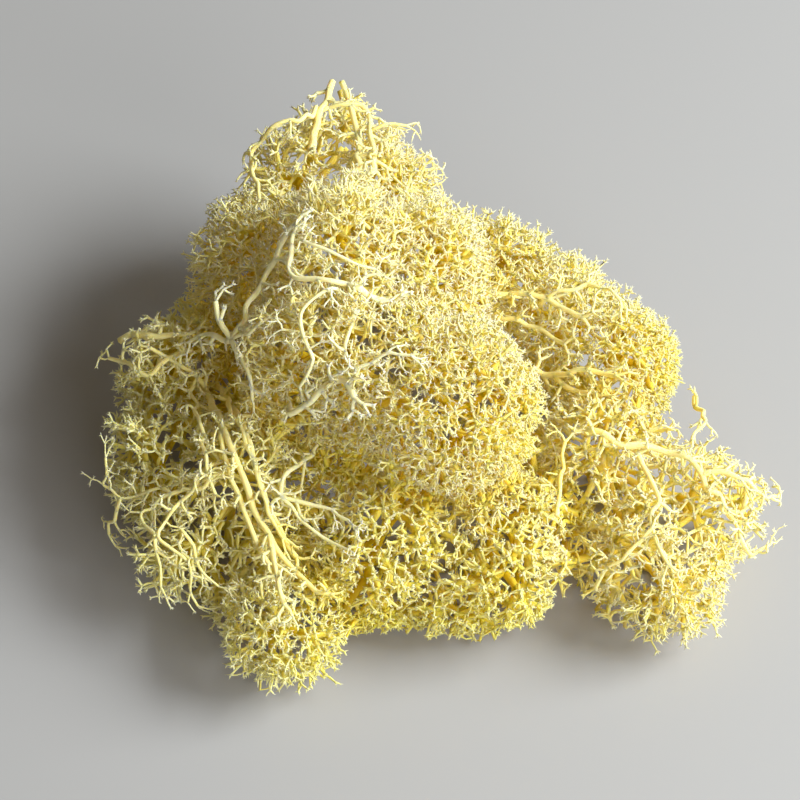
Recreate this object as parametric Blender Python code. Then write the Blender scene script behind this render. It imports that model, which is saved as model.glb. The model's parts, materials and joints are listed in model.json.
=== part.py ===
"""A clump of preserved reindeer lichen, resting on a flat surface.

Six tufts have grown into and hooked onto each other. Every tuft is split at its main forks:
each limb's crown of fine twigs is one closed solid that reaches to the twig tips, and the bare
stalks and boughs that show between and on the crowns are tapered tubes of their own. Two
thicker loose branches lie across the crowns.

Millimetres in the tables below, metres in the scene. X runs across the clump, Y from its front
to its back, Z up; the origin is the middle of the clump's box, on the surface that it rests on.
"""

import math

import bmesh
import bpy
from mathutils import Vector, noise

MM = 0.001
GAP = 0.3                   # clear space between neighbouring solids
CROWN_SEGMENTS = 16         # faces round a crown
CROWN_RINGS = 10            # faces from a crown's top to its underside
LUMP_HEIGHT = 0.10          # height of a crown's lumps, as a share of its radius
LUMP_SPACING = 7.0          # distance from one lump to the next
TUBE_LEVEL = 1              # bevel resolution of a tube, which gives it six sides
STEPS_PER_SPAN = 2          # tube sections between two points of a route
FLOOR = (Vector((0.0, 0.0, 0.0)), Vector((0.0, 0.0, -1.0)))

# Crowns, by tuft and limb: centre and semi-axes.
CROWNS = {
    ("top_tuft", "root_end"): ((-13.5, 39.0, 26.0), (7.5, 7.5, 9.5)),
    ("top_tuft", "rear_left"): ((-21.0, 28.0, 19.0), (9.5, 10.0, 18.0)),
    ("top_tuft", "rear_right"): ((-7.0, 29.0, 19.0), (10.0, 10.0, 18.0)),
    ("top_tuft", "left"): ((-27.5, 13.0, 23.0), (9.5, 10.0, 12.5)),
    ("top_tuft", "middle"): ((-13.0, 5.0, 25.0), (12.5, 13.0, 21.0)),
    ("top_tuft", "right"): ((-2.0, 8.0, 23.0), (10.0, 11.0, 17.5)),
    ("top_tuft", "front"): ((-19.0, -8.0, 23.0), (11.0, 10.0, 15.5)),
    ("top_tuft", "head"): ((2.5, -16.0, 28.5), (13.5, 13.5, 13.0)),
    ("right_tuft", "inner"): ((8.7, 22.0, 13.0), (10.0, 9.0, 14.5)),
    ("right_tuft", "middle"): ((19.0, 11.5, 13.0), (11.5, 11.5, 15.0)),
    ("right_tuft", "head"): ((27.5, 1.0, 15.5), (9.5, 10.0, 12.0)),
    ("corner_tuft", "inner"): ((23.0, -13.5, 11.0), (9.5, 9.5, 12.0)),
    ("corner_tuft", "outer"): ((40.5, -17.0, 9.5), (10.0, 9.5, 9.5)),
    ("corner_tuft", "middle"): ((26.5, -27.0, 8.0), (8.5, 8.0, 8.5)),
    ("corner_tuft", "low"): ((34.0, -34.5, 7.5), (8.5, 8.5, 8.5)),
    ("front_tuft", "left"): ((-6.3, -26.0, 11.0), (10.5, 13.0, 12.0)),
    ("front_tuft", "right"): ((9.5, -27.0, 11.0), (10.5, 13.0, 12.0)),
    ("left_tuft", "rear"): ((-40.5, 1.0, 13.0), (9.0, 9.0, 13.0)),
    ("left_tuft", "outer"): ((-42.5, -14.0, 10.5), (9.0, 9.5, 11.5)),
    ("left_tuft", "middle"): ((-28.0, -20.5, 12.5), (9.5, 9.5, 13.5)),
    ("left_tuft", "fore"): ((-37.0, -29.0, 8.0), (8.0, 8.0, 8.5)),
    ("left_tuft", "low"): ((-22.0, -40.5, 8.0), (10.0, 9.0, 9.0)),
    ("rear_tuft", "inner"): ((-32.5, 11.5, 12.0), (9.0, 9.0, 12.5)),
}

# Bare stalks, boughs and loose branches: radius at the start and end, and the route.
BRANCHES = {
    "top_tuft_left_stalk": (0.60, 0.75, [(-17.3, 42.5, 35.5), (-15.5, 36.0, 34.8), (-15.0, 30.0, 33.0)]),
    "top_tuft_right_stalk": (0.60, 0.80, [(-13.0, 41.5, 36.5), (-12.5, 35.0, 35.0), (-10.5, 28.0, 36.0)]),
    "right_tuft_upper_stalk": (0.80, 0.60, [(5.5, 9.0, 22.0), (12.0, 7.0, 21.5), (18.5, 3.5, 22.5)]),
    "right_tuft_lower_stalk": (0.80, 0.60, [(11.0, -1.5, 17.0), (17.5, -5.0, 18.5), (24.0, -7.0, 22.0)]),
    "corner_tuft_stalk": (0.85, 0.70, [(23.5, -17.5, 22.0), (30.7, -17.5, 19.2), (37.0, -21.3, 18.2)]),
    "corner_tuft_outer_bough": (0.70, 0.40, [(38.8, -21.8, 18.4), (44.5, -21.4, 17.9), (50.0, -20.0, 11.5)]),
    "corner_tuft_low_bough": (0.70, 0.50, [(27.0, -22.0, 17.0), (30.0, -30.0, 15.8), (32.2, -38.0, 15.6)]),
    "left_tuft_stalk": (0.90, 0.70, [(-33.5, -9.0, 22.0), (-30.8, -18.5, 26.4), (-26.6, -28.5, 21.6),
                                     (-20.5, -33.5, 18.0), (-14.5, -35.0, 17.5)]),
    "left_tuft_rear_bough": (0.75, 0.50, [(-34.5, -6.8, 20.5), (-37.5, -5.0, 23.5), (-42.0, -3.0, 24.8)]),
    "left_tuft_outer_bough": (0.75, 0.50, [(-32.0, -25.2, 23.0), (-35.5, -26.5, 19.2), (-40.5, -28.3, 16.0)]),
    "left_tuft_low_bough": (0.75, 0.50, [(-24.2, -32.5, 18.0), (-22.8, -38.0, 17.0), (-21.4, -44.0, 16.0)]),
    "rear_tuft_cut_stub": (0.85, 0.60, [(-48.5, 2.4, 21.8), (-43.0, 0.8, 25.6), (-37.0, 1.5, 26.0)]),
    "loose_branch_lower": (0.55, 0.60, [(-36.5, -3.4, 26.0), (-29.6, -7.8, 32.5), (-20.5, -12.6, 38.0),
                                        (-13.5, -15.4, 35.5)]),
    "loose_branch_upper": (0.50, 0.35, [(-28.5, -5.8, 33.6), (-26.0, -1.0, 36.0), (-22.0, 2.0, 40.5)]),
    "long_branch": (0.50, 0.35, [(-20.4, -20.3, 23.5), (-21.5, -26.0, 20.0), (-16.2, -29.2, 18.6),
                                 (-10.8, -35.5, 19.2)]),
}

COLOURS = {
    "top_tuft": (0.86, 0.80, 0.42),
    "right_tuft": (0.84, 0.77, 0.36),
    "corner_tuft": (0.82, 0.74, 0.34),
    "front_tuft": (0.80, 0.74, 0.26),
    "left_tuft": (0.72, 0.67, 0.33),
    "rear_tuft": (0.55, 0.50, 0.24),
    "stalk": (0.80, 0.62, 0.24),
    "loose": (0.74, 0.75, 0.50),
}


def clear_scene():
    for old in list(bpy.data.objects):
        bpy.data.objects.remove(old)


def new_collection(name):
    group = bpy.data.collections.new(name)
    bpy.context.scene.collection.children.link(group)
    return group


def lichen_material(name, colour):
    material = bpy.data.materials.new(name)
    material.use_nodes = True
    shader = material.node_tree.nodes["Principled BSDF"]
    shader.inputs["Base Color"].default_value = (*colour, 1.0)
    shader.inputs["Roughness"].default_value = 0.85
    shader.inputs["Metallic"].default_value = 0.0
    return material


def reach(axes, direction):
    """Distance from an ellipsoid's centre to its surface along a unit direction."""
    return 1.0 / math.sqrt(sum((d / a) ** 2 for d, a in zip(direction, axes)))


def boundary(crown, neighbour):
    """The plane between two crowns that meet, as a point and an outward normal, or None."""
    (centre, axes), (other_centre, other_axes) = CROWNS[crown], CROWNS[neighbour]
    across = Vector(other_centre) - Vector(centre)
    distance = across.length
    across.normalize()
    own = reach(axes, across)
    other = reach(other_axes, across)
    if (own + other) * (1.0 + LUMP_HEIGHT) + GAP < distance:
        return None
    own_side = (distance + own - other) / 2.0 - GAP / 2.0
    return Vector(centre) + across * own_side, across


def cut_flat(shape, point, normal):
    """Cuts away what lies beyond a plane and closes the cut with one flat face."""
    everything = shape.verts[:] + shape.edges[:] + shape.faces[:]
    bmesh.ops.bisect_plane(shape, geom=everything, plane_co=point, plane_no=normal, clear_outer=True)
    rim = [edge for edge in shape.edges if edge.is_boundary]
    if rim:
        bmesh.ops.holes_fill(shape, edges=rim, sides=0)


def add_object(name, data, group, colour):
    data.materials.append(lichen_material(name, colour))
    item = bpy.data.objects.new(name, data)
    group.objects.link(item)
    return item


def make_crown(crown, group):
    """A lumpy ellipsoid, cut flat against its neighbours and the surface below."""
    tuft, limb = crown
    centre, axes = Vector(CROWNS[crown][0]), CROWNS[crown][1]
    shape = bmesh.new()
    bmesh.ops.create_uvsphere(shape, u_segments=CROWN_SEGMENTS, v_segments=CROWN_RINGS, radius=1.0)
    for vert in shape.verts:
        offset = Vector(part * axis for part, axis in zip(vert.co, axes))
        lump = noise.noise((centre + offset) / LUMP_SPACING)
        vert.co = centre + offset * (1.0 + LUMP_HEIGHT * lump)
    planes = [boundary(crown, other) for other in CROWNS if other != crown]
    for plane in filter(None, planes + [FLOOR]):
        cut_flat(shape, *plane)
    bmesh.ops.scale(shape, vec=(MM, MM, MM), verts=shape.verts[:])
    data = bpy.data.meshes.new(f"{tuft}_{limb}_crown")
    shape.to_mesh(data)
    shape.free()
    return add_object(data.name, data, group, COLOURS[tuft])


def smooth_route(points):
    """Points along a Catmull-Rom curve through a route."""
    ends = [points[0] * 2 - points[1], *points, points[-1] * 2 - points[-2]]
    route = []
    for before, start, end, after in zip(ends, ends[1:], ends[2:], ends[3:]):
        for step in range(STEPS_PER_SPAN):
            t = step / STEPS_PER_SPAN
            bend = (end - before) * t + (before * 2 - start * 5 + end * 4 - after) * t ** 2
            route.append(start + (bend + (start * 3 - before - end * 3 + after) * t ** 3) / 2)
    return route + [points[-1]]


def tube_mesh(name, branch, spare):
    """A branch's tapered tube with closed ends, `spare` millimetres thicker and longer all round."""
    start_radius, end_radius, points = BRANCHES[branch]
    route = smooth_route([Vector(point) for point in points])
    route[0] += (route[0] - route[1]).normalized() * spare
    route[-1] += (route[-1] - route[-2]).normalized() * spare
    curve = bpy.data.curves.new(name, "CURVE")
    curve.dimensions = "3D"
    curve.bevel_depth = MM
    curve.bevel_resolution = TUBE_LEVEL
    curve.use_fill_caps = True
    spline = curve.splines.new("POLY")
    spline.points.add(len(route) - 1)
    for index, (knot, place) in enumerate(zip(spline.points, route)):
        along = index / (len(route) - 1)
        knot.co = (*(place * MM), 1.0)
        knot.radius = start_radius + (end_radius - start_radius) * along + spare
    holder = bpy.data.objects.new(name, curve)
    bpy.context.scene.collection.objects.link(holder)
    evaluated = holder.evaluated_get(bpy.context.evaluated_depsgraph_get())
    data = bpy.data.meshes.new_from_object(evaluated)
    bpy.data.objects.remove(holder)
    shape = bmesh.new()
    shape.from_mesh(data)
    bmesh.ops.remove_doubles(shape, verts=shape.verts[:], dist=GAP * MM / 10)
    shape.to_mesh(data)
    shape.free()
    data.name = name
    return data


def make_branch(branch, group, clearances):
    """A branch, and the hidden, slightly larger tube that clears a groove for it."""
    tuft = branch.rsplit("_", 2)[0]
    colour = COLOURS["stalk" if "tuft" in tuft else "loose"]
    add_object(branch, tube_mesh(branch, branch, 0.0), group, colour)
    name = f"clearance_for_{branch}"
    cutter = bpy.data.objects.new(name, tube_mesh(name, branch, GAP))
    cutter.hide_render = True
    cutter.display_type = "WIRE"
    clearances.objects.link(cutter)
    return cutter


def boxes_meet(one, other):
    """True if the bounding boxes of two objects that sit at the origin overlap."""
    for axis in range(3):
        low, high = min(c[axis] for c in one.bound_box), max(c[axis] for c in one.bound_box)
        other_low, other_high = min(c[axis] for c in other.bound_box), max(c[axis] for c in other.bound_box)
        if high < other_low or other_high < low:
            return False
    return True


def clear_groove(crown, cutter):
    groove = crown.modifiers.new(cutter.name, "BOOLEAN")
    groove.operation = "DIFFERENCE"
    groove.solver = "EXACT"
    groove.object = cutter


def centre_on_origin(crowns):
    """Moves everything so that the middle of the crowns' box is over the origin."""
    corners = [Vector(corner) for crown in crowns for corner in crown.bound_box]
    for axis in (0, 1):
        middle = (min(c[axis] for c in corners) + max(c[axis] for c in corners)) / 2.0
        for item in bpy.data.objects:
            item.location[axis] = -middle


def main():
    clear_scene()
    group = new_collection("lichen_clump")
    clearances = new_collection("clearances")
    crowns = [make_crown(crown, group) for crown in CROWNS]
    cutters = [make_branch(branch, group, clearances) for branch in BRANCHES]
    for crown in crowns:
        for cutter in cutters:
            if boxes_meet(crown, cutter):
                clear_groove(crown, cutter)
    centre_on_origin(crowns)


main()
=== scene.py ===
"""The looks of the reindeer lichen clump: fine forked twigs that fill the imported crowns.

The crowns of a tuft run together into one smooth outer shape. Outermost forks are spread evenly
just under it and gathered into small round heads with creases between them. They are joined step
by step, in twos to fours, into thicker twigs, boughs and a limb for each crown, which runs back
to the tuft's root. Lengths are in millimetres until a piece's mesh is made.
"""

import json
import math

import bpy
import numpy as np
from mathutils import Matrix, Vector
from mathutils.kdtree import KDTree


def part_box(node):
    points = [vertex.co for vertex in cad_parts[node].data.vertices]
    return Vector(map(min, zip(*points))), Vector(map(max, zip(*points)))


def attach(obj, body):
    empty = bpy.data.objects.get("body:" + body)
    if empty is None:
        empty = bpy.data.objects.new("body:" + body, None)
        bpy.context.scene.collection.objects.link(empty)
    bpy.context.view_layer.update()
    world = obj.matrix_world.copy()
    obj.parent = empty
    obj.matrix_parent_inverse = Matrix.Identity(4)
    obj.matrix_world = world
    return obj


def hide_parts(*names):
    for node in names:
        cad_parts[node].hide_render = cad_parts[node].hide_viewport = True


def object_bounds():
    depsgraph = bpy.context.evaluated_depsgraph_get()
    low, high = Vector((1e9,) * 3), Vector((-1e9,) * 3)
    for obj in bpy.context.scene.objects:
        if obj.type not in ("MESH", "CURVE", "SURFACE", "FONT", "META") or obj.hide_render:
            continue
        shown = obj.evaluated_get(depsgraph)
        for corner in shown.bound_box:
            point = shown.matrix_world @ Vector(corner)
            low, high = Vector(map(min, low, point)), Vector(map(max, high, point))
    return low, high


MM = 0.001
SEED = 7
FILLET = 2.6            # how far the crowns of one tuft run into each other
BRIDGE = 1.7            # how far the tufts run into each other
CANDIDATES = 2200000    # random places tried when the outermost forks are spread out
HEAD_CANDIDATES = 20000     # how many of those that reach the surface are tried as middles of small heads
GROOVE = 2.5            # half the width of the groove where two tufts meet, which is sunk in and given painted shade
SHALLOW, DEEP = 1.5, 7.5    # depths between which twigs turn from their own colour to the painted shade inside
NEAR_FLOOR = 3.5        # height below which twigs get painted shade too
ROUTE_STEP = 2.1        # from one bend of a thick branch to the next
THICKEST = 0.62         # radius that no grown twig goes over
BOUGH_LOAD, STRAND_LOAD = 5, 40     # outermost forks carried, above which a twig is a bough or a strand
VIEW_TILT = 52.0        # degrees that the camera looks down
VIEW_DISTANCE, VIEW_WIDTH = 0.42, 0.120     # metres from the camera to its aim, and the width seen there
# Layers of forks, outermost first: depth, spacing factor, and how many outermost forks one counts as.
LAYERS = ((0.0, 1.0, 1.0), (1.3, 1.2, 1.0), (2.8, 1.45, 2.0), (4.8, 1.9, 4.0), (7.4, 2.6, 7.0), (10.5, 3.4, 10.0))

# Tubes by kind: sides round, steps along, whether it ends in a point, whether its ends are closed.
TUBES = {"cone": (3, 1, True, False), "curl": (3, 2, True, False), "prong": (3, 1, False, False),
         "twig": (3, 1, False, False), "link": (3, 2, False, False), "bough": (4, 2, False, False),
         "strand": (6, 3, False, False), "stump": (6, 3, False, True), "limb": (8, 8, False, True)}


class Style:
    """How one crown grows."""

    def __init__(self, spacing=1.5, head=7.5, crease=1.6, spike=0.85, width=0.17, opening=0.75,
                 ragged=0.35, shoots=0.3, drop=0.0, spread=62.0, links=0.6, antlers=0.0, fill=1.0):
        self.spacing = spacing      # between outermost forks
        self.head = head            # between the middles of neighbouring small heads
        self.crease = crease        # depth of the creases between heads
        self.spike = spike          # length of the last spikes
        self.width = width          # radius of a spike where it starts
        self.opening = opening      # length of a fork's stem against the spread of what it carries
        self.ragged = ragged        # how unevenly the outermost forks stand out
        self.shoots = shoots        # side shoots for each inner fork
        self.drop = drop            # share of the heads' parts that are missing
        self.spread = spread        # angle of the spikes from their stem, in degrees
        self.links = links          # links to neighbours for each outermost fork, which close loops
        self.antlers = antlers      # spacing of the bigger forked branches over the fine ones, or 0
        self.fill = fill            # share of the inner layers that is there


DENSE = Style(spacing=0.97, head=8.0, crease=0.9, spike=0.5, width=0.115, ragged=0.2)
DOME = Style(spacing=1.15, head=8.0, crease=0.9, spike=0.5, width=0.15, ragged=0.2, links=0.8)
FINE = Style(spacing=1.2, head=7.5, crease=1.2, spike=0.68, width=0.125, ragged=0.35)
LOOSE = Style(spacing=2.4, head=7.0, crease=2.0, spike=0.95, width=0.19, ragged=0.5, antlers=3.2, fill=0.28)
LOOPED = Style(spacing=1.7, head=7.5, crease=1.4, spike=0.6, width=0.19, ragged=0.4, links=1.3, antlers=4.5, fill=0.7)
OPEN = Style(spacing=2.2, head=7.0, crease=1.8, spike=0.6, width=0.19, ragged=0.5, links=1.4, antlers=3.6, fill=0.2)
MIXED = Style(spacing=1.85, head=7.5, crease=1.5, spike=0.9, width=0.16, ragged=0.45, antlers=2.4)
COARSE = Style(spacing=2.1, head=8.0, crease=1.8, spike=0.8, width=0.2, ragged=0.4, antlers=2.8, fill=0.9)

# Places where the growth is a clearer lemon yellow, the ends of the heads: middle and radius.
LEMON = (((13.0, -21.0, 27.0), 8.0), ((35.0, 1.0, 17.0), 8.0), ((-16.0, -45.0, 6.0), 8.0),
         ((10.0, -37.0, 5.0), 8.0), ((-6.0, -38.0, 6.0), 6.0))

# Lower growth that fills the gaps between crowns: (tuft, limb) that it belongs to, middle, semi-axes.
FILLS = (
    (("front_tuft", "right"), (2.0, -29.5, 8.0), (7.0, 10.0, 8.0)),
    (("front_tuft", "left"), (-13.5, -31.0, 7.5), (7.0, 7.0, 7.5)),
    (("front_tuft", "left"), (-17.0, -20.5, 9.0), (7.5, 7.5, 9.5)),
    (("corner_tuft", "inner"), (17.0, -9.0, 5.0), (7.0, 7.5, 6.0)),
    (("rear_tuft", "inner"), (-32.0, 2.0, 9.0), (8.0, 9.0, 9.5)),
    (("top_tuft", "front"), (-8.5, -9.5, 28.0), (9.0, 9.5, 13.0)),
)

# How the twigs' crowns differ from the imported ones, so that loose tips end where they should:
# shift and scale.
TRIMS = {
    ("top_tuft", "root_end"): ((-1.2, -2.6, -0.8), 0.88),
    ("top_tuft", "rear_left"): ((0.6, -1.2, 0.0), 0.95),
    ("top_tuft", "rear_right"): ((-2.6, -2.4, -0.5), 0.92),
    ("top_tuft", "left"): ((0.6, -0.6, 0.0), 0.98),
    ("top_tuft", "front"): ((2.0, 0.0, 2.6), 1.0),
    ("top_tuft", "head"): ((-1.3, -0.3, 0.3), 1.0),
    ("right_tuft", "inner"): ((-0.5, -2.6, -0.8), 0.95),
    ("right_tuft", "middle"): ((-1.4, -1.6, -1.0), 0.95),
    ("right_tuft", "head"): ((-0.4, -0.4, 0.0), 0.96),
    ("corner_tuft", "inner"): ((1.0, 0.0, 0.0), 0.97),
    ("corner_tuft", "outer"): ((-1.8, -3.0, -1.2), 0.88),
    ("corner_tuft", "middle"): ((1.0, 0.0, 0.0), 1.0),
    ("corner_tuft", "low"): ((-0.8, 0.3, 0.0), 0.95),
    ("front_tuft", "left"): ((-1.3, -1.2, -0.6), 1.0),
    ("front_tuft", "right"): ((-0.6, -1.3, -1.0), 0.99),
    ("left_tuft", "rear"): ((1.4, -1.6, -0.8), 0.92),
    ("left_tuft", "outer"): ((1.8, 0.0, 0.0), 0.92),
    ("left_tuft", "fore"): ((1.5, 1.0, 0.0), 0.93),
    ("left_tuft", "low"): ((0.0, -0.6, 0.0), 0.98),
    ("rear_tuft", "inner"): ((0.8, -1.8, -0.8), 0.93),
}

# Bare stalks, boughs and loose branches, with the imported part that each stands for. Each strand:
# radius at its start and end, how far its side forks go, and its route.
SPRIGS = {
    "loose_branch_upper": [
        (0.42, 0.38, 2, [(-29.5, -6.0, 32.5), (-27.5, -4.0, 34.5), (-25.0, 0.5, 37.0), (-21.5, 3.5, 41.0),
                         (-19.5, 5.0, 44.0)]),
        (0.30, 0.22, 1, [(-19.5, 3.5, 43.5), (-13.5, -0.5, 43.8), (-9.5, -1.5, 41.5)]),
        (0.34, 0.48, 1, [(-19.5, 5.0, 44.0), (-19.8, -2.5, 41.2), (-16.5, -4.5, 41.0), (-11.5, -5.5, 39.5),
                         (-7.5, -6.5, 37.3)])],
    "loose_branch_lower": [
        (0.48, 0.30, 2, [(-29.5, -6.0, 32.5), (-32.0, -4.0, 30.8), (-36.0, -2.0, 27.0)]),
        (0.45, 0.42, 0, [(-29.5, -6.0, 32.5), (-31.2, -3.8, 33.8), (-31.8, -1.5, 35.5)]),
        (0.42, 0.26, 1, [(-29.5, -6.0, 32.5), (-27.5, -9.0, 31.8), (-25.5, -11.3, 31.3), (-26.0, -13.8, 28.5)]),
        (0.30, 0.22, 1, [(-29.5, -6.0, 32.5), (-26.0, -7.5, 35.2), (-22.5, -7.8, 38.5)]),
        (0.26, 0.30, 1, [(-13.5, -4.8, 41.0), (-17.0, -7.5, 40.8), (-18.0, -10.5, 39.2), (-16.5, -12.8, 37.2),
                         (-18.5, -15.0, 34.2)]),
        (0.26, 0.20, 1, [(-18.0, -10.5, 39.2), (-20.8, -10.0, 39.2)]),
        (0.36, 0.60, 1, [(-21.0, -16.0, 29.0), (-18.0, -16.0, 31.5), (-15.0, -15.2, 34.0), (-12.0, -15.0, 35.5),
                         (-10.0, -18.0, 35.0)]),
        (0.36, 0.24, 1, [(-11.8, -14.0, 36.0), (-11.5, -10.5, 38.3), (-10.0, -7.0, 38.3)]),
        (0.34, 0.22, 1, [(-12.0, -15.0, 35.5), (-6.5, -15.5, 39.8), (-3.5, -17.0, 41.3)])],
    "long_branch": [
        (0.30, 0.36, 1, [(-17.5, -17.0, 21.5), (-19.0, -19.8, 22.0), (-22.0, -24.0, 23.0), (-22.3, -26.0, 21.5)]),
        (0.36, 0.22, 1, [(-22.3, -26.0, 21.5), (-17.5, -27.0, 20.8), (-12.5, -30.0, 21.2)]),
        (0.34, 0.22, 1, [(-22.3, -26.0, 21.5), (-19.5, -28.5, 19.5), (-16.0, -31.2, 18.6), (-12.0, -33.5, 18.8)]),
        (0.24, 0.20, 0, [(-19.0, -19.8, 22.0), (-19.8, -24.0, 18.6), (-20.5, -26.5, 18.5)])],
    "left_tuft_stalk": [
        (0.55, 0.45, 0, [(-34.0, -5.0, 18.5), (-31.0, -15.0, 24.3), (-28.0, -23.0, 24.2), (-25.2, -29.0, 19.8),
                         (-21.5, -34.0, 17.0), (-17.5, -38.5, 14.5)]),
        (0.50, 0.36, 0, [(-32.0, -4.0, 18.5), (-28.5, -14.0, 24.6), (-26.2, -22.0, 25.0), (-23.6, -28.0, 20.3),
                         (-20.0, -33.0, 16.5)]),
        (0.42, 0.36, 0, [(-31.0, -14.0, 23.0), (-29.6, -22.5, 24.0), (-26.8, -29.0, 19.4), (-24.0, -34.0, 16.4)]),
        (0.34, 0.28, 1, [(-30.0, -12.0, 24.8), (-27.3, -20.0, 26.0), (-25.0, -26.0, 23.2), (-22.0, -31.5, 19.2)])],
    "left_tuft_rear_bough": [
        (0.42, 0.30, 2, [(-34.0, -5.0, 20.0), (-37.5, -3.5, 23.2), (-42.0, -1.5, 25.0)]),
        (0.34, 0.28, 2, [(-35.5, -5.0, 20.5), (-34.5, -13.0, 23.2), (-33.0, -20.5, 24.6), (-31.5, -26.0, 22.0)])],
    "left_tuft_outer_bough": [
        (0.36, 0.20, 2, [(-32.0, -24.0, 23.5), (-38.0, -24.0, 19.5), (-42.5, -25.2, 16.5), (-40.5, -29.3, 16.8),
                         (-39.5, -33.2, 14.5), (-39.5, -35.0, 12.0)]),
        (0.27, 0.16, 2, [(-38.0, -24.0, 19.5), (-41.5, -22.3, 17.8), (-45.8, -21.5, 15.0), (-48.5, -19.2, 15.2),
                         (-48.0, -17.0, 18.8)]),
        (0.30, 0.24, 2, [(-45.8, -21.5, 15.0), (-47.0, -22.8, 11.0), (-48.0, -23.0, 8.0)])],
    "left_tuft_low_bough": [
        (0.34, 0.18, 2, [(-33.0, -22.5, 23.5), (-38.8, -27.8, 18.0), (-38.0, -31.8, 17.2), (-35.0, -34.8, 14.6),
                         (-34.2, -37.0, 10.0)]),
        (0.30, 0.18, 2, [(-36.5, -29.5, 18.5), (-34.3, -33.2, 16.2), (-31.0, -36.5, 14.2)]),
        (0.50, 0.34, 1, [(-24.0, -30.5, 19.0), (-23.0, -35.5, 18.6), (-21.5, -41.5, 17.0)])],
    "rear_tuft_cut_stub": [
        (0.60, 0.42, 2, [(-47.0, 3.2, 20.8), (-44.0, 2.4, 23.2), (-41.0, 1.4, 24.0), (-36.5, 2.0, 23.4)]),
        (0.38, 0.30, 2, [(-37.0, -1.0, 23.5), (-42.0, -5.0, 22.8), (-45.0, -2.5, 22.4), (-48.5, 0.5, 20.0)])],
    "top_tuft_left_stalk": [
        (0.50, 0.62, 1, [(-15.6, 41.3, 36.8), (-16.4, 37.4, 36.4), (-17.8, 33.0, 36.0), (-18.7, 27.5, 36.0)]),
        (0.36, 0.30, 2, [(-18.0, 36.0, 36.8), (-20.5, 31.0, 38.8), (-24.5, 30.3, 38.2), (-27.5, 28.5, 35.0),
                         (-27.0, 22.0, 36.0), (-26.0, 16.5, 37.2)])],
    "top_tuft_right_stalk": [
        (0.46, 0.60, 1, [(-14.2, 41.0, 37.0), (-13.0, 36.8, 36.8), (-12.0, 32.5, 36.2), (-11.5, 27.0, 36.2),
                         (-12.3, 20.0, 38.3)]),
        (0.34, 0.40, 1, [(-18.2, 35.5, 35.8), (-14.4, 36.0, 37.2), (-11.2, 36.2, 36.9), (-10.0, 34.8, 36.2)]),
        (0.42, 0.50, 2, [(-10.0, 34.8, 36.2), (-9.8, 30.0, 36.9), (-9.2, 25.0, 36.6), (-9.8, 18.0, 39.0)]),
        (0.28, 0.22, 2, [(-9.8, 31.0, 36.9), (-7.0, 31.4, 37.8), (-4.4, 31.6, 37.2)])],
    "right_tuft_upper_stalk": [
        (0.60, 0.40, 1, [(5.5, 10.0, 23.5), (11.0, 9.0, 24.6), (16.5, 7.0, 26.0), (21.5, 3.0, 26.6)]),
        (0.45, 0.32, 1, [(8.0, 6.5, 22.5), (15.5, 4.0, 22.8), (19.0, 0.5, 23.4)]),
        (0.34, 0.26, 2, [(16.5, 7.0, 26.0), (20.5, 7.0, 28.0), (24.5, 6.5, 28.8), (27.0, 4.0, 29.2)])],
    "right_tuft_lower_stalk": [
        (0.52, 0.36, 1, [(11.0, 0.0, 18.5), (17.5, -3.0, 20.5), (22.5, -4.5, 23.4), (26.0, -6.5, 24.6)]),
        (0.40, 0.28, 1, [(17.5, -3.0, 20.5), (20.5, -6.5, 21.0), (24.0, -9.0, 21.0)])],
    "corner_tuft_stalk": [
        (0.55, 0.42, 1, [(22.0, -14.5, 22.0), (24.0, -16.0, 23.2), (27.5, -17.3, 22.0), (31.5, -16.8, 20.8),
                         (36.5, -18.5, 20.4), (38.2, -20.7, 19.6), (43.0, -25.0, 14.2)]),
        (0.38, 0.30, 2, [(38.5, -4.0, 16.5), (39.0, -10.0, 19.6), (37.0, -15.5, 20.8)]),
        (0.34, 0.26, 1, [(17.0, -28.5, 20.3), (18.2, -21.0, 21.5), (18.5, -17.0, 22.5)])],
    "corner_tuft_outer_bough": [
        (0.44, 0.24, 2, [(38.2, -20.7, 19.6), (41.5, -20.5, 20.0), (44.8, -21.0, 18.6), (47.8, -21.5, 15.0),
                         (50.3, -19.0, 12.0)]),
        (0.34, 0.26, 1, [(44.8, -22.5, 16.5), (44.0, -26.2, 12.0), (46.0, -26.8, 8.2), (49.0, -24.5, 7.6)])],
    "corner_tuft_low_bough": [
        (0.44, 0.32, 1, [(29.0, -17.5, 20.5), (31.5, -23.0, 18.8), (30.5, -28.5, 18.8), (32.5, -35.0, 17.9)]),
        (0.34, 0.28, 2, [(22.8, -34.3, 10.5), (24.3, -33.3, 14.4), (27.0, -32.5, 16.6), (30.5, -29.5, 18.6)])],
}

# Each tuft: the place that its limbs come from, then crown: (the crown that its limb comes from, style).
TUFTS = {
    "top_tuft": ((-14.5, 46.0, 30.0), {
        "root_end": (None, LOOSE), "rear_left": ("root_end", LOOSE), "rear_right": ("root_end", MIXED),
        "left": ("rear_left", MIXED), "middle": ("rear_right", MIXED), "right": ("rear_right", FINE),
        "front": ("middle", MIXED), "head": ("middle", DENSE)}),
    "right_tuft": ((1.0, 8.0, 12.0), {
        "inner": (None, FINE), "middle": ("inner", FINE), "head": ("middle", DENSE)}),
    "corner_tuft": ((14.0, -8.0, 12.0), {
        "inner": (None, LOOPED), "outer": ("inner", OPEN), "middle": ("inner", LOOPED),
        "low": ("middle", FINE)}),
    "front_tuft": ((1.0, -8.0, 10.0), {"left": (None, DOME), "right": (None, DOME)}),
    "left_tuft": ((-33.0, -7.0, 16.0), {
        "rear": (None, COARSE), "outer": ("rear", COARSE), "middle": (None, COARSE),
        "fore": ("middle", COARSE), "low": ("middle", FINE)}),
    "rear_tuft": ((-40.0, 6.0, 14.0), {"inner": (None, COARSE)}),
}


def unit(vector):
    return vector / max(np.linalg.norm(vector), 1e-9)


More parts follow.
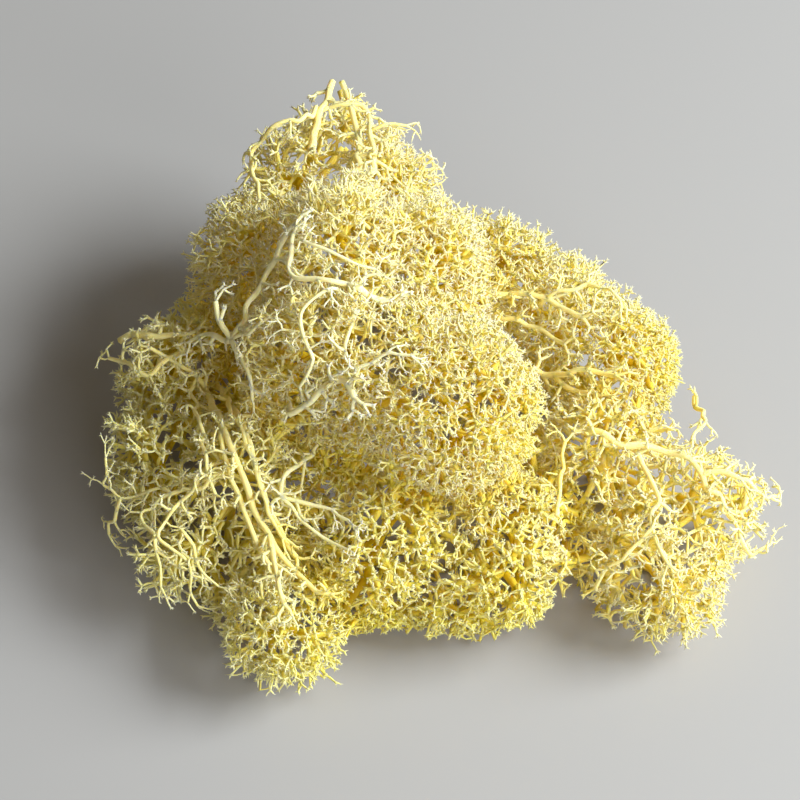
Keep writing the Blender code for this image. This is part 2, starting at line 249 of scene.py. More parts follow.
def units(vectors):
    return vectors / np.maximum(np.linalg.norm(vectors, axis=-1, keepdims=True), 1e-9)


class Twigs:
    """Curved tapered tubes, collected for one piece."""

    def __init__(self):
        self.rows = {kind: [] for kind in TUBES}

    def add(self, kind, start, end, leave, arrive, radii, tips, tone, shading):
        # The last values are the painted shade at the tube's two ends.
        reach = np.linalg.norm(end - start) / 3.0
        self.rows[kind].append(np.concatenate(
            (start, start + leave * reach, end - arrive * reach, end, radii, tips, (tone,), shading)))

    def settle_shading(self, envelope):
        """Marks how much painted shade each tube's ends get, from where they stand in the clump."""
        for kind, rows in self.rows.items():
            if rows:
                table = np.array(rows)
                table[:, 17] = envelope.shade_amount(table[:, 0:3])
                table[:, 18] = envelope.shade_amount(table[:, 9:12])
                self.rows[kind] = list(table)

    def antler(self, rng, envelope, start, heading, radius, length, level):
        """A branch that forks in twos and threes and ends in stubby stars, and keeps near the surface."""
        height = envelope.at(start[None])[0]
        outward = unit(envelope.slope(start[None])[1][0])
        heading = unit(heading - outward * np.clip(height - 0.6, -1.0, 1.0) * 0.45)
        end = start + heading * length * rng.uniform(0.8, 1.25)
        end[2] = max(end[2], 0.4)
        onward = unit(heading + 0.35 * rng.normal(size=3))
        bend = unit(heading + 0.45 * rng.normal(size=3))
        tip = {0: 0.75, 1: 0.55}.get(level, 0.4)
        self.add("bough", start, end, bend, onward,
                 (radius, radius * 0.85), (tip, tip + 0.1), rng.random(), (0, 0))
        ways = int(rng.integers(2, 4)) if level else int(rng.integers(2, 5))
        side = unit(np.cross(onward, outward) + 0.3 * rng.normal(size=3))
        other = np.cross(onward, side)
        turn = rng.uniform(0, 2 * math.pi) if ways > 2 else rng.normal(0.0, 0.35)
        for k in range(ways):
            angle = turn + 2 * math.pi * k / ways
            lean = math.radians(rng.normal(46.0 if level else 52.0, 9.0))
            aim = onward * math.cos(lean) + (side * math.cos(angle) + 0.7 * other * math.sin(angle)) * math.sin(lean)
            if level:
                self.antler(rng, envelope, end, unit(aim), radius * rng.uniform(0.68, 0.82), length * 0.78, level - 1)
                continue
            spike = end + unit(aim) * rng.uniform(0.6, 1.1) * (0.45 + 1.6 * radius)
            self.add("curl", end - onward * radius * 0.4, spike, unit(aim + 0.3 * onward),
                     unit(aim + 0.2 * rng.normal(size=3)), (radius * 0.8, radius * 0.5), (0.8, 1.0),
                     rng.random(), (0, 0))

    def wander(self, rng, points, swing):
        """A smooth route through the given points, with small bends of the given swing."""
        before = [2 * points[0] - points[1], *points, 2 * points[-1] - points[-2]]
        found = []
        for k in range(len(points) - 1):
            a, b, c, d = before[k:k + 4]
            count = max(1, round(np.linalg.norm(c - b) / ROUTE_STEP))
            for t in np.arange(count) / count:
                spot = b + 0.5 * t * (c - a + t * (2 * a - 5 * b + 4 * c - d + t * (3 * (b - c) + d - a)))
                found.append(spot + rng.normal(size=3) * swing * (t > 0))
        return [*found, points[-1]]

    def strand(self, rng, envelope, start_radius, end_radius, level, route, rise):
        """A branch along a route, lifted clear of the crowns, with forked side branches and end."""
        route = [np.array(point) for point in route]
        if envelope.at(route[0][None])[0] < 1.2:
            outward = unit(envelope.slope(route[0][None])[1][0])
            route.insert(0, route[0] - 2.2 * outward - 1.6 * unit(route[1] - route[0]))
        points = np.array(self.wander(rng, route, 0.16 + 0.12 * level))
        height, slope = envelope.slope(points[2:])
        points[2:] += units(slope) * np.clip(rise - height, 0.0, 3.0)[:, None]
        before = [2 * points[0] - points[1], *points, 2 * points[-1] - points[-2]]
        ways = [unit(before[k + 2] - before[k]) for k in range(len(points))]
        radii = np.linspace(start_radius, end_radius, len(points)) * rng.uniform(0.82, 1.14, len(points))
        for k in range(len(points) - 1):
            self.add("strand" if k else "stump", points[k], points[k + 1], ways[k], ways[k + 1],
                     (radii[k], radii[k + 1]), (0.4, 0.4), rng.random(), (0, 0))
        last = len(points) - 1
        for k in range(1, len(points)):
            outward = unit(envelope.slope(points[k][None])[1][0])
            sideways = unit(np.cross(ways[k], outward)) * (1 if k % 2 else -1)
            for turn in (1.0,) if k < last else (-0.6, 0.6):
                if k < last and rng.random() > (0.35, 0.7, 0.95)[level]:
                    continue
                side = sideways * turn + 0.45 * rng.normal(size=3) + 0.3 * outward
                forward = 0.6 if k < last else 1.1
                self.antler(rng, envelope, points[k], unit(side + forward * ways[k]),
                            min(radii[k] * rng.uniform(0.6, 0.8), 0.32), 1.7, min(level, 1) if k < last else 1)

    def mesh(self, name):
        places, faces, marks, first = [], [], [], 0
        for kind, (sides, steps, pointed, closed) in TUBES.items():
            if not len(self.rows[kind]):
                continue
            verts, ring_faces, mark = tubes(np.array(self.rows[kind]), sides, steps, pointed, closed)
            places.append(verts)
            faces += [group + first for group in ring_faces]
            marks.append(mark)
            first += len(verts)
        places, marks = np.concatenate(places), np.concatenate(marks)
        lemon = sum(np.exp(-((places - middle) ** 2).sum(1) / radius ** 2) for middle, radius in LEMON)
        return build_mesh(name, places * MM, faces, np.column_stack((marks, np.minimum(lemon, 1.0))))


def tubes(rows, sides, steps, pointed, closed):
    """Vertices, faces and marks (tip, tone, depth) of many tubes along cubic curves; depth carries painted shade."""
    count = len(rows)
    knots = rows[:, :12].reshape(count, 4, 3)
    rings = steps if pointed else steps + 1
    t = (np.arange(rings) / steps)[None, :, None]
    a, b, c, d = (knots[:, k][:, None] for k in range(4))
    middle = a * (1 - t) ** 3 + 3 * b * t * (1 - t) ** 2 + 3 * c * t * t * (1 - t) + d * t ** 3
    along = units(3 * (b - a) * (1 - t) ** 2 + 6 * (c - b) * t * (1 - t) + 3 * (d - c) * t * t)
    helper = units(np.cross(d - a, np.cross(d - a, b - c) + (0.31, 0.23, 0.17)))
    across = units(helper - (helper * along).sum(-1, keepdims=True) * along)
    other = np.cross(along, across)
    flare = 1.0 + (0.0 if pointed or sides > 5 else 0.22) * (2 * t - 1) ** 4
    radius = (rows[:, None, 12:13] * (1 - t) + rows[:, None, 13:14] * t) * flare
    angle = np.arange(sides) * 2 * math.pi / sides
    spokes = (across[:, :, None] * np.cos(angle)[:, None] + other[:, :, None] * np.sin(angle)[:, None])
    verts = (middle[:, :, None] + spokes * radius[:, :, None]).reshape(count, rings * sides, 3)
    shade = np.concatenate((rows[:, None, 14:15] * (1 - t) + rows[:, None, 15:16] * t,
                            np.broadcast_to(rows[:, None, 16:17], (count, rings, 1)),
                            rows[:, None, 17:18] * (1 - t) + rows[:, None, 18:19] * t), axis=2)
    marks = np.repeat(shade, sides, axis=1)
    if pointed:
        verts = np.concatenate((verts, knots[:, 3:4]), axis=1)
        marks = np.concatenate((marks, rows[:, None, [15, 16, 18]]), axis=1)
    size = verts.shape[1]
    ring = np.arange(sides)
    after = (ring + 1) % sides
    quads = [np.stack((ring + k * sides, after + k * sides, after + (k + 1) * sides, ring + (k + 1) * sides), 1)
             for k in range(rings - 1)]
    faces = [np.concatenate(quads)] if quads else []
    last = (rings - 1) * sides
    if pointed:
        faces.append(np.stack((last + ring, last + after, np.full(sides, size - 1)), 1))
    if closed:
        faces += [ring[::-1][None], (ring + last)[None]]
    shift = (np.arange(count) * size)[:, None, None]
    faces = [(group[None] + shift).reshape(-1, group.shape[1]) for group in faces]
    return verts.reshape(-1, 3), faces, marks.reshape(-1, 3)


def build_mesh(name, places, face_groups, marks):
    mesh = bpy.data.meshes.new(name)
    mesh.vertices.add(len(places))
    mesh.vertices.foreach_set("co", places.ravel())
    corners = np.concatenate([group.ravel() for group in face_groups])
    sizes = np.concatenate([np.full(len(group), group.shape[1]) for group in face_groups])
    mesh.loops.add(len(corners))
    mesh.loops.foreach_set("vertex_index", corners)
    mesh.polygons.add(len(sizes))
    mesh.polygons.foreach_set("loop_start", np.concatenate(([0], np.cumsum(sizes)[:-1])))
    # The depth attribute carries the painted shade.
    for index, mark in enumerate(("tip", "tone", "depth", "lemon")):
        layer = mesh.attributes.new(mark, "FLOAT", "POINT")
        layer.data.foreach_set("value", np.ascontiguousarray(marks[:, index], dtype=np.float32))
    mesh.update(calc_edges=True)
    mesh.shade_smooth()
    return mesh


class Envelope:
    """The clump's outer shape, as a distance: negative inside, about 0 on the surface."""

    def __init__(self):
        self.names = [(tuft, limb) for tuft, (_, limbs) in TUFTS.items() for limb in limbs]
        boxes = np.array([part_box(f"{tuft}_{limb}_crown") for tuft, limb in self.names]) / MM
        shifts, scales = zip(*(TRIMS.get(name, ((0.0, 0.0, 0.0), 1.0)) for name in self.names))
        halves = (boxes[:, 1] - boxes[:, 0]) / 2.0 * np.array(scales)[:, None]
        self.middles = np.concatenate((boxes.mean(1) + shifts, [middle for _, middle, _ in FILLS]))
        self.halves = np.concatenate((halves, [axes for _, _, axes in FILLS]))
        self.crowns = np.array([*range(len(self.names)), *(self.names.index(owner) for owner, _, _ in FILLS)])
        order = list(TUFTS)
        self.tufts = np.array([order.index(self.names[crown][0]) for crown in self.crowns])

    def to_crowns(self, places):
        """Distances to the ellipsoids that fill the crowns' boxes."""
        offset = (places[:, None] - self.middles) / self.halves
        length = np.maximum(np.linalg.norm(offset, axis=2), 1e-6)
        slope = np.linalg.norm(offset / self.halves, axis=2)
        return length * (length - 1.0) / np.maximum(slope, 1e-6)

    def to_tufts(self, places):
        near = np.exp(-np.clip(self.to_crowns(places), -25.0, 25.0) / FILLET)
        return np.stack([-FILLET * np.log(near[:, self.tufts == k].sum(1)) for k in range(len(TUFTS))], 1)

    def at(self, places):
        near = np.exp(-np.clip(self.to_tufts(places), -25.0, 25.0) / BRIDGE)
        return -BRIDGE * np.log(near.sum(1))

    def shade_amount(self, places):
        """How much painted shade a place gets: 0 on the outside, 1 well inside, in between in creases where tufts
        meet and near the floor.
        """
        inside = np.clip((-self.at(places) - SHALLOW) / (DEEP - SHALLOW), 0.0, 1.0)
        nearest = np.sort(self.to_tufts(places), axis=1)
        # Painted shade in the groove where two tufts meet.
        crease = 0.55 * np.exp(-((nearest[:, 1] - nearest[:, 0]) / GROOVE) ** 2)
        # Painted shade near the floor.
        low = 0.7 * np.clip((NEAR_FLOOR - places[:, 2]) / NEAR_FLOOR, 0.0, 1.0)
        return np.clip(inside + crease + low, 0.0, 1.0)

    def slope(self, places):
        step = 0.05
        here = self.at(places)
        change = [self.at(places + np.eye(3)[axis] * step) - here for axis in range(3)]
        return here, np.stack(change, 1) / step

    def surface_points(self, rng, count):
        """Random places on the surface, with outward normals."""
        low = (self.middles - self.halves).min(0) - 3.0
        high = (self.middles + self.halves).max(0) + 3.0
        places = rng.uniform(low, high, (count, 3))
        places = places[np.abs(self.at(places)) < 0.8]
        for _ in range(2):
            here, slope = self.slope(places)
            places = places - slope * (here / np.maximum((slope ** 2).sum(1), 0.1))[:, None]
        return places, units(self.slope(places)[1])


def thin_out(places, spacing):
    """Marks the places to keep so that none is closer to another than its spacing."""
    tree = KDTree(len(places))
    for index, place in enumerate(places):
        tree.insert(place, index)
    tree.balance()
    kept = np.ones(len(places), dtype=bool)
    for index in range(len(places)):
        if kept[index]:
            for _, other, _ in tree.find_range(places[index], spacing[index]):
                if other > index:
                    kept[other] = False
    return kept


def clusters(rng, places, count):
    """Splits places into compact groups."""
    seeds = [places[rng.integers(len(places))]]
    for _ in range(count - 1):
        gap = np.min([((places - seed) ** 2).sum(1) for seed in seeds], axis=0)
        seeds.append(places[gap.argmax()])
    for _ in range(3):
        owner = np.argmin([((places - seed) ** 2).sum(1) for seed in seeds], axis=0)
        seeds = [places[owner == k].mean(0) if (owner == k).any() else seeds[k] for k in range(count)]
    owner = np.argmin([((places - seed) ** 2).sum(1) for seed in seeds], axis=0)
    return [np.flatnonzero(owner == k) for k in range(count) if (owner == k).any()]


def nearest_two(places, targets):
    """For each place the nearest target, and the distances to the nearest two."""
    best = np.full(len(places), np.inf)
    second = best.copy()
    owner = np.zeros(len(places), dtype=int)
    for index, target in enumerate(targets):
        gap = np.linalg.norm(places - target, axis=1)
        closer = gap < best
        second = np.where(closer, best, np.minimum(second, gap))
        owner = np.where(closer, index, owner)
        best = np.where(closer, gap, best)
    return owner, best, second


def plant(envelope, styles, rng):
    """The outermost forks of the whole clump: places, headings, head, and each head's crown."""
    surface, normals = envelope.surface_points(rng, CANDIDATES)
    crown = envelope.crowns[envelope.to_crowns(surface).argmin(1)]
    per_crown = {key: np.array([getattr(style, key) for style in styles])
                 for key in ("spacing", "head", "crease", "spike", "ragged", "fill")}
    tried, tried_crown = surface[:HEAD_CANDIDATES], crown[:HEAD_CANDIDATES]
    head_marks = thin_out(tried, per_crown["head"][tried_crown])
    heads, head_crown = tried[head_marks], tried_crown[head_marks]
    owner, gap, second = nearest_two(surface, heads)
    crown = head_crown[owner]
    tuft_gap = np.sort(envelope.to_tufts(surface), axis=1)
    between = np.exp(-((tuft_gap[:, 1] - tuft_gap[:, 0]) / GROOVE) ** 2)
    edge = np.exp(-((second - gap) / (per_crown["head"][crown] * 0.3)) ** 2)
    sink = per_crown["crease"][crown] * edge + 1.2 * between
    places, headings, owners, layers = [], [], [], []
    for layer, (depth, factor, _) in enumerate(LAYERS):
        spacing = per_crown["spacing"][crown] * factor
        under = (surface[:, 2] < 3.0) & (normals[:, 2] < -0.35)
        spacing = spacing * np.where(under, 1.0 if layer < 2 else 2.0, np.where(normals[:, 2] < -0.35, 1.5, 1.0))
        stand = rng.exponential(per_crown["ragged"][crown]) - per_crown["ragged"][crown]
        fall = sink * (1.0 if layer == 0 else 0.5) + depth * rng.uniform(0.8, 1.2, len(surface))
        fall = fall - np.minimum(stand, 2.5) + per_crown["spike"][crown] * 0.7
        spot = surface - normals * fall[:, None]
        spot[:, 2] = np.maximum(spot[:, 2], 0.4)
        share = rng.permutation(len(spot))[:int(len(spot) / factor)]
        kept = share[thin_out(spot[share], spacing[share])]
        if layer:
            kept = kept[rng.random(len(kept)) < per_crown["fill"][crown[kept]]]
        places.append(spot[kept])
        headings.append(normals[kept])
        owners.append(owner[kept])
        layers.append(np.where(under[kept], 2, layer))
    return (np.concatenate(places), np.concatenate(headings), np.concatenate(owners),
            np.concatenate(layers), heads, head_crown)


class Crown:
    """Grows the twigs of one crown's heads."""

    def __init__(self, envelope, index, root, style, rng):
        self.style, self.rng, self.twigs = style, rng, Twigs()
        self.envelope, self.root = envelope, root
        self.middle = envelope.middles[index]
        self.hub = self.middle + (root - self.middle) * 0.22
        self.stars = []

    def grow(self, places, headings, layers, heads):
        self.places, self.headings, self.layers = places, headings, layers
        self.loads = np.array([load for _, _, load in LAYERS])[layers]
        heading = unit(self.hub - self.root)
        self.limb(self.root, self.hub, heading, len(places))
        self.fork(self.hub, heading, heads)
        self.add_links()
        self.add_antlers()
        self.twigs.settle_shading(self.envelope)
        self.add_stars()
        return self.twigs

    def radius(self, load):
        """The radius of a twig that carries a number of outermost forks."""
        return min(self.style.width * 1.25 * load ** 0.34, THICKEST)

    def limb(self, start, end, heading, load):
        side = np.cross(heading, self.rng.normal(size=3))
        leave = unit(heading + 0.35 * unit(side))
        radii = (self.radius(load) * 1.05, self.radius(load))
        # Limbs run inside the crown and take the full painted shade.
        self.twigs.add("limb", start, end, leave, unit(heading * 2 - leave), radii, (0, 0), 0.5, (1, 1))

    def fork(self, hub, heading, heads):
        """Shares a hub's heads out among its branches until each branch carries one head."""
        if len(heads) == 1:
            self.branch(hub, heading, heads[0])
            return
        centres = np.array([self.places[head].mean(0) for head in heads])
        for group in clusters(self.rng, centres, min(len(heads), int(self.rng.integers(2, 4)))):
            carried = [heads[k] for k in group]
            members = np.concatenate(carried)
            if len(carried) == 1:
                self.branch(hub, heading, members)
                continue
            place, onward = self.stem(hub, heading, members)
            self.fork(place, onward, carried)

    def stem(self, hub, heading, members):
        """The tube from a hub to the next fork, for the outer forks that it carries."""
        style, rng = self.style, self.rng
        carried = self.places[members]
        centre = carried.mean(0)
        spread = math.sqrt(((carried - centre) ** 2).sum(1).mean())
        back = min(style.opening * spread, 0.66 * np.linalg.norm(centre - hub))
        place = centre + unit(hub - centre) * back + rng.normal(size=3) * 0.07 * back
        place[2] = max(place[2], 0.5)
        straight = unit(place - hub)
        onward = unit(0.7 * unit(centre - place) + 0.5 * unit(self.headings[members].mean(0)))
        leave = unit(straight + 0.35 * (straight - heading * (straight @ heading)))
        load = self.loads[members].sum()
        radii = (self.radius(load) * 1.04, self.radius(load) * 0.92)
        kind = "strand" if load > STRAND_LOAD else "bough" if load > BOUGH_LOAD else "twig"
        tip = 0.55 * max(0.0, 1.0 - math.log(load) / math.log(STRAND_LOAD))
        self.twigs.add(kind, hub, place, leave, onward, radii, (tip * 0.8, tip), rng.random(), (0, 0))
        return place, onward

    def branch(self, hub, heading, members):
        """Forks in twos to fours down to single outer forks."""
        style, rng = self.style, self.rng
        if 2 < len(members) < 14 and rng.random() < style.drop:
            return
        if len(members) == 1:
            self.tip(hub, heading, members[0])
            return
        place, onward = self.stem(hub, heading, members)
        if len(members) > 3:
            for _ in range(rng.poisson(style.shoots)):
                self.side_shoot(place, onward)
        ways = min(len(members), int(rng.choice((2, 3, 4), p=(0.35, 0.45, 0.2))))
        for group in clusters(rng, self.places[members], ways):
            self.branch(place, onward, members[group])

    def tip(self, hub, heading, member):
        end = self.places[member]
        straight = unit(end - hub)
        onward = unit(straight + 0.7 * self.headings[member])
        leave = unit(straight + 0.3 * (straight - heading * (straight @ heading)))
        width = self.radius(self.loads[member])
        self.twigs.add("twig", hub, end, leave, onward, (width, width * 0.9), (0.5, 0.75),
                       self.rng.random(), (0, 0))
        self.stars.append(np.concatenate((end, onward, (self.layers[member],))))

    def side_shoot(self, hub, heading):
        rng, width = self.rng, self.style.width
        side = unit(np.cross(heading, rng.normal(size=3)))
        straight = unit(side + heading * rng.uniform(-0.1, 0.8))
        end = hub + straight * rng.uniform(1.2, 2.4) * self.style.spacing / 1.7
        if end[2] < 0.3:
            return
        onward = unit(straight + 0.4 * heading)
        self.twigs.add("twig", hub, end, straight, onward, (width * 1.2, width), (0.3, 0.55), rng.random(), (0, 0))
        self.stars.append(np.concatenate((end, onward, (1,))))

    def add_antlers(self):
        """Bigger forked branches that stand out over the fine ones."""
        style, rng = self.style, self.rng
        if not style.antlers:
            return
        own = rng.permutation(np.flatnonzero(self.layers == 0))
        for member in own[thin_out(self.places[own], np.full(len(own), style.antlers))]:
            outward = self.headings[member]
            along = unit(np.cross(outward, rng.normal(size=3)))
            start = self.places[member] - outward * 2.2 - along * 2.0
            self.twigs.antler(rng, self.envelope, start, unit(along + 0.7 * outward), style.width * 1.5, 1.9, 2)

    def add_links(self):
        """Twigs between neighbouring outer forks, bowed in or out, which close small loops."""
        style, rng = self.style, self.rng
        own = np.flatnonzero((self.layers < 2) | (self.places[:, 2] < 3.0))
        tree = KDTree(len(own))
        for index, member in enumerate(own):
            tree.insert(self.places[member], index)
        tree.balance()
        for index, member in enumerate(own):
            if rng.random() > style.links:
                continue
            near = [own[other] for _, other, gap in tree.find_n(self.places[member], 5)
                    if 0.5 * style.spacing < gap < 1.9 * style.spacing]
            if not near:
                continue
            other = near[rng.integers(min(len(near), 3))]
            start, end = self.places[member], self.places[other]
            bow = self.headings[member] * rng.normal(-0.3, 0.5) + rng.normal(size=3) * 0.25
            straight = unit(end - start)
            width = style.width * 0.95
            self.twigs.add("link", start, end, unit(straight + bow), unit(straight - bow), (width, width),
                           (0.65, 0.65), rng.random(), (0, 0))

    def add_stars(self):
        """Two to five short spikes round each outer fork; many end in a smaller fork."""
        style, rng = self.style, self.rng
        stars = np.array(self.stars)
        # Painted shade for each star's spikes, from where the star stands in the clump.
        shading = self.envelope.shade_amount(stars[:, :3])
        outer = stars[:, 6] < 0.5
        ways = rng.choice((2, 3, 4, 5), len(stars), p=(0.12, 0.42, 0.34, 0.12))
        ways = np.where(outer, ways, np.minimum(ways, 3))
        ways = np.where(stars[:, 6] > 1.5, 1, ways)
        which = np.repeat(np.arange(len(stars)), ways)
        turn = np.concatenate([np.arange(way) / way for way in ways]) * 2 * math.pi
        turn += np.repeat(rng.uniform(0, 2 * math.pi, len(stars)), ways) + rng.normal(0, 0.25, len(which))
        place, axis = stars[which, :3], stars[which, 3:6]
        across = units(np.cross(axis, np.array((0.41, -0.29, 0.86))))
        other = np.cross(axis, across)
        lean = np.radians(rng.normal(style.spread, 11.0, len(which)))[:, None]
        out = across * np.cos(turn)[:, None] + other * np.sin(turn)[:, None]
        leave = units(axis * np.cos(lean) + out * np.sin(lean))
        length = (style.spike * rng.uniform(0.65, 1.25, len(which)))[:, None]
        arrive = units(leave + axis * rng.uniform(0.0, 0.9, (len(which), 1)))
        end = place + (leave + 0.35 * axis) * length * 0.85
        end[:, 2] = np.maximum(end[:, 2], 0.05)
        start = place - axis * style.width * 0.5
        forked = (rng.random(len(which)) < 0.45) & outer[which]
        curled = ~forked & outer[which] & (rng.random(len(which)) < 0.5)
        for part, kind, taper in ((forked, "prong", 0.75), (curled, "curl", 0.6),
                                  (~forked & ~curled, "cone", 0.35)):
            self.spikes(kind, start[part], end[part], leave[part], arrive[part], shading[which][part], taper, 0.7)
        for turn_by in (-1.0, 1.0):
            base, along = end[forked], arrive[forked]
            count = len(base)
            side = units(np.cross(along, axis[forked]) + 0.2 * rng.normal(size=(count, 3)))
            aim = along + turn_by * side * rng.uniform(0.4, 0.9, (count, 1)) + 0.2 * rng.normal(size=(count, 3))
            aim = units(aim)
            small = base + aim * length[forked] * rng.uniform(0.35, 0.65, (count, 1))
            small[:, 2] = np.maximum(small[:, 2], 0.05)
            back = base - along * style.width * 0.6
            self.spikes("cone", back, small, units(aim + along), aim, shading[which][forked], 0.3, 0.9, 0.75)

    def spikes(self, kind, start, end, leave, arrive, shading, taper, tip_start, scale=1.0):
        """Many spikes at once. taper is the end's radius as a share of the start's."""
        count = len(start)
        reach = np.linalg.norm(end - start, axis=1, keepdims=True) / 3.0
        wide = self.style.width * scale * self.rng.uniform(0.85, 1.15, (count, 1))
        tone = self.rng.random((count, 1))
        ones = np.ones((count, 1))
        rows = np.hstack((start, start + leave * reach, end - arrive * reach, end, wide,
                          wide * taper, ones * tip_start, ones, tone, shading[:, None], shading[:, None]))
        self.twigs.rows[kind].extend(rows)


def colour(*parts):
    return (*parts, 1.0)


def lichen_material(name, tip, body, shade_colour):
    """Dry lichen: pale at the tips, warmer along the twigs, painted shade of dark gold inside, fine mottling."""
    material = bpy.data.materials.new(name)
    material.use_nodes = True
    nodes, links = material.node_tree.nodes, material.node_tree.links
    shader = nodes["Principled BSDF"]

    def node(kind, **values):
        made = nodes.new(kind)
        for key, value in values.items():
            setattr(made, key, value)
        return made

    def mark(which):
        return node("ShaderNodeAttribute", attribute_name=which).outputs["Fac"]

    def mix(factor, one, other, blend="MIX"):
        made = node("ShaderNodeMix", data_type="RGBA", blend_type=blend)
        for socket, value in ((made.inputs[0], factor), (made.inputs[6], one), (made.inputs[7], other)):
            if isinstance(value, (int, float, tuple)):
                socket.default_value = value
            else:
                links.new(value, socket)
        return made.outputs[2]

    def noise(size, detail=2.0):
        made = node("ShaderNodeTexNoise")
        made.inputs["Scale"].default_value = 1.0 / (size * MM)
        made.inputs["Detail"].default_value = detail
        links.new(coordinates.outputs["Object"], made.inputs["Vector"])
        return made.outputs["Fac"]

    def ramp(source, low, high):
        made = node("ShaderNodeMapRange", clamp=True)
        made.inputs["From Min"].default_value = low
        made.inputs["From Max"].default_value = high
        links.new(source, made.inputs["Value"])
        return made.outputs["Result"]

    coordinates = node("ShaderNodeTexCoord")
    base = mix(ramp(mark("tip"), 0.25, 1.0), body, tip)
    base = mix(mark("lemon"), base, mix(1.0, base, colour(1.0, 0.97, 0.55), "MULTIPLY"))
    # Painted shade: the depth mark turns twigs to the darker shade colour inside the clump, in creases between tufts
    # and near the floor.
    base = mix(ramp(mark("depth"), 0.0, 0.8), base, shade_colour)
    base = mix(ramp(noise(14.0), 0.35, 0.7), base, mix(0.5, base, colour(1.0, 0.95, 0.7), "MULTIPLY"))
    base = mix(ramp(mark("tone"), 0.0, 1.0), base, mix(1.0, base, colour(0.95, 0.93, 0.86), "MULTIPLY"))
    base = mix(ramp(noise(0.5, 4.0), 0.45, 0.75), base, mix(1.0, base, colour(0.94, 0.9, 0.8), "MULTIPLY"))
    links.new(base, shader.inputs["Base Color"])
    shader.inputs["Roughness"].default_value = 0.72
    shader.inputs["Specular IOR Level"].default_value = 0.1
    shader.inputs["Subsurface Weight"].default_value = 0.85
    shader.inputs["Subsurface Radius"].default_value = (1.0, 0.85, 0.35)
    shader.inputs["Subsurface Scale"].default_value = 0.5 * MM
    bump = node("ShaderNodeBump")
    bump.inputs["Strength"].default_value = 0.6
    bump.inputs["Distance"].default_value = 0.0001
    links.new(noise(0.35, 3.0), bump.inputs["Height"])
    links.new(bump.outputs["Normal"], shader.inputs["Normal"])
    return material


def make_camera():
    """Looks down on the clump from its front, as the photograph does."""
    low, high = (np.array(corner) for corner in CAD_BOX)
    size, middle = high - low, (low + high) / 2.0
    aim = Vector(middle + size * (-0.052, -0.02, -0.223))
    tilt = math.radians(VIEW_TILT)
    camera = bpy.data.objects.new("camera", bpy.data.cameras.new("camera"))
    camera.location = aim + Vector((0.0, -math.cos(tilt), math.sin(tilt))) * VIEW_DISTANCE
    camera.rotation_euler = (math.pi / 2.0 - tilt, 0.0, 0.0)
    camera.data.lens = camera.data.sensor_width * VIEW_DISTANCE / VIEW_WIDTH
    camera.data.clip_start = 0.01
    bpy.context.scene.collection.objects.link(camera)
    bpy.context.scene.camera = camera


def make_light(name, place, size, power, tint):
    """A soft light aimed at the clump's middle."""
    light = bpy.data.lights.new(name, "AREA")
    light.shape, light.energy, light.color = "RECTANGLE", power, tint
    light.size, light.size_y = size
    lamp = bpy.data.objects.new(name, light)
    lamp.location = place
    lamp.rotation_euler = (Vector((0.0, 0.0, 0.02)) - Vector(place)).to_track_quat("-Z", "Y").to_euler()
    bpy.context.scene.collection.objects.link(lamp)


def make_stage():
    """The floor, the weak light from all round, and two lights: a window at the right, and the room."""
    floor_mesh = bpy.data.meshes.new("floor")
    floor_mesh.from_pydata([(-3, -3, 0), (3, -3, 0), (3, 3, 0), (-3, 3, 0)], [], [(0, 1, 2, 3)])
    floor = bpy.data.objects.new("floor", floor_mesh)
    bpy.context.scene.collection.objects.link(floor)
    material = bpy.data.materials.new("floor")
    material.use_nodes = True
    shader = material.node_tree.nodes["Principled BSDF"]
    shader.inputs["Base Color"].default_value = colour(0.289, 0.292, 0.293)
    shader.inputs["Roughness"].default_value = 0.45
    floor_mesh.materials.append(material)
    world = bpy.context.scene.world or bpy.data.worlds.new("world")
    bpy.context.scene.world = world
    world.use_nodes = True
    world.node_tree.nodes["Background"].inputs["Color"].default_value = colour(1.0, 0.82, 0.60)
    world.node_tree.nodes["Background"].inputs["Strength"].default_value = 0.12
    make_light("window", place=(0.56, -0.01, 0.44), size=(0.46, 0.34), power=11.4, tint=(0.98, 1.0, 1.0))
    make_light("room", place=(0.32, -0.52, 0.28), size=(0.5, 0.3), power=2.9, tint=(1.0, 0.98, 0.95))


def make_piece(name, mesh, node):
    """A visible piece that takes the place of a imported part."""
    piece = bpy.data.objects.new(name, mesh)
    mesh.materials.append(MATERIALS[SLOTS[node]])
    bpy.context.scene.collection.objects.link(piece)
    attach(piece, "root")
    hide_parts(node)


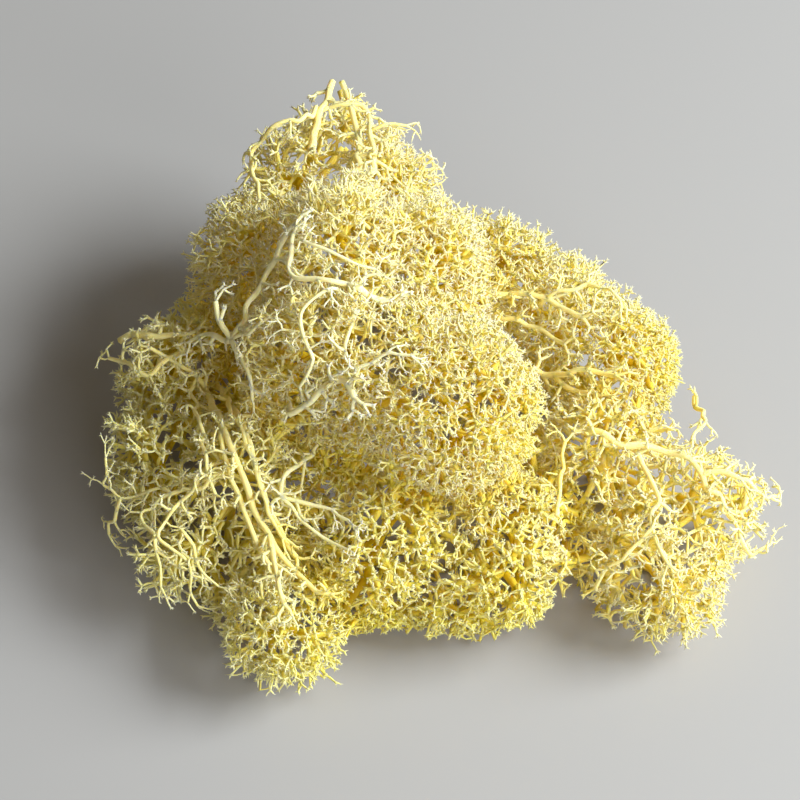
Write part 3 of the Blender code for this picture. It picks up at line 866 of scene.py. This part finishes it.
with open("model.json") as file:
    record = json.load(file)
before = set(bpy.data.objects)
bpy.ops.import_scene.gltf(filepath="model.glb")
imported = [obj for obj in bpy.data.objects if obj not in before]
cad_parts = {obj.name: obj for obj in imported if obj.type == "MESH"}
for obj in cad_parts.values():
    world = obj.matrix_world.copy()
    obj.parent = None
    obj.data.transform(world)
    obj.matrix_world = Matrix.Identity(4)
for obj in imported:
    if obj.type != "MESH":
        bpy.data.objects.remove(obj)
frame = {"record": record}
CAD_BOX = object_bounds()
bpy.context.scene.view_settings.view_transform = "Standard"
bpy.context.scene.view_settings.gamma = 1.25
bpy.context.scene.cycles.max_bounces = bpy.context.scene.cycles.diffuse_bounces = 8
make_camera()
make_stage()
SLOTS = {part["node"]: part["material_slot"] for part in frame["record"]["subparts"]}
# Each material's colours: at the tips, along the twigs, and the painted shade inside the clump.
MATERIALS = {name: lichen_material(name, *(colour(*part) for part in parts)) for name, parts in {
    "lichen_pale": ((0.96, 0.86, 0.47), (0.94, 0.79, 0.14), (0.76, 0.53, 0.01)),
    "lichen_gold": ((0.96, 0.86, 0.45), (0.94, 0.78, 0.12), (0.76, 0.52, 0.01)),
    "lichen_lemon": ((0.96, 0.86, 0.38), (0.94, 0.80, 0.11), (0.76, 0.54, 0.01)),
    "lichen_olive": ((0.93, 0.87, 0.43), (0.91, 0.79, 0.15), (0.72, 0.54, 0.02)),
    "stalk": ((0.95, 0.87, 0.42), (0.94, 0.82, 0.30), (0.90, 0.72, 0.14)),
    "loose_branch": ((0.94, 0.92, 0.60), (0.93, 0.90, 0.50), (0.90, 0.85, 0.38)),
}.items()}

envelope = Envelope()
styles = [TUFTS[tuft][1][limb][1] for tuft, limb in envelope.names]
places, headings, owners, layers, heads, head_crown = plant(envelope, styles, np.random.default_rng(SEED))
for index, (tuft, limb) in enumerate(envelope.names):
    root, limbs = TUFTS[tuft]
    parent, style = limbs[limb]
    start = np.array(root) if parent is None else envelope.middles[envelope.names.index((tuft, parent))]
    mine = np.flatnonzero(head_crown[owners] == index)
    groups = [np.flatnonzero(owners[mine] == head) for head in np.unique(owners[mine])]
    crown = Crown(envelope, index, start, style, np.random.default_rng((SEED, index)))
    twigs = crown.grow(places[mine], headings[mine], layers[mine], groups)
    name, node = f"{tuft}_{limb}_twigs", f"{tuft}_{limb}_crown"
    make_piece(name, twigs.mesh(name), node)
for name, strands in SPRIGS.items():
    rng = np.random.default_rng((SEED, len(name), ord(name[-5])))
    twigs = Twigs()
    for start_radius, end_radius, level, route in strands:
        twigs.strand(rng, envelope, start_radius, end_radius, level, route, 1.7 if "loose" in name else 0.0)
    twigs.settle_shading(envelope)
    make_piece(f"{name}_branch", twigs.mesh(f"{name}_branch"), name)
